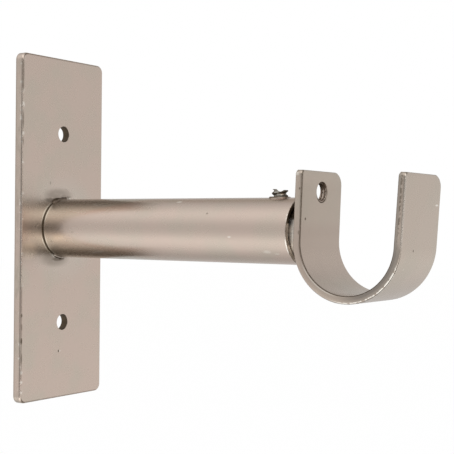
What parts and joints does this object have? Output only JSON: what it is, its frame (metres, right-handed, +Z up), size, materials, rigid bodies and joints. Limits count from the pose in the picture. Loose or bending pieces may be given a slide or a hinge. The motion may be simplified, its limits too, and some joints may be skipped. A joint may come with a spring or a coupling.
{
  "type": "curtain pole wall bracket",
  "caption": "Telescoping curtain pole bracket: a flat wall plate, a round tube and an open U-shaped pole cup on a clamped sliding stem.",
  "frame": {"origin": "middle of the wall plate's back face, which lies on the wall", "axes": "+Z up along the plate; the bracket reaches out from the wall along -Y, so +Y points into the wall; +X along the pole"},
  "size_m": [0.04, 0.1381, 0.117],
  "materials": {
    "satin_nickel": "satin nickel plate on steel, worn at the edges",
    "screw_steel": "nickel plated steel, darkened in the thread"
  },
  "bodies": {
    "wall_arm": {"wall_plate": "satin_nickel", "outer_tube": "satin_nickel", "tube_tack_welds": "satin_nickel"},
    "cup_arm": {"stem": "satin_nickel", "stem_weld": "satin_nickel", "pole_cup": "satin_nickel"},
    "screw": {"clamp_screw": "screw_steel"}
  },
  "joints": [
    {"name": "stem_slide", "type": "slide", "parent": "wall_arm", "child": "cup_arm", "axis": [0, -1, 0], "range_m": [-0.002, 0.045]},
    {"name": "screw_travel", "type": "slide", "parent": "wall_arm", "child": "screw", "axis": [0, 0, 1], "range_m": [0, 0.002]}
  ]
}
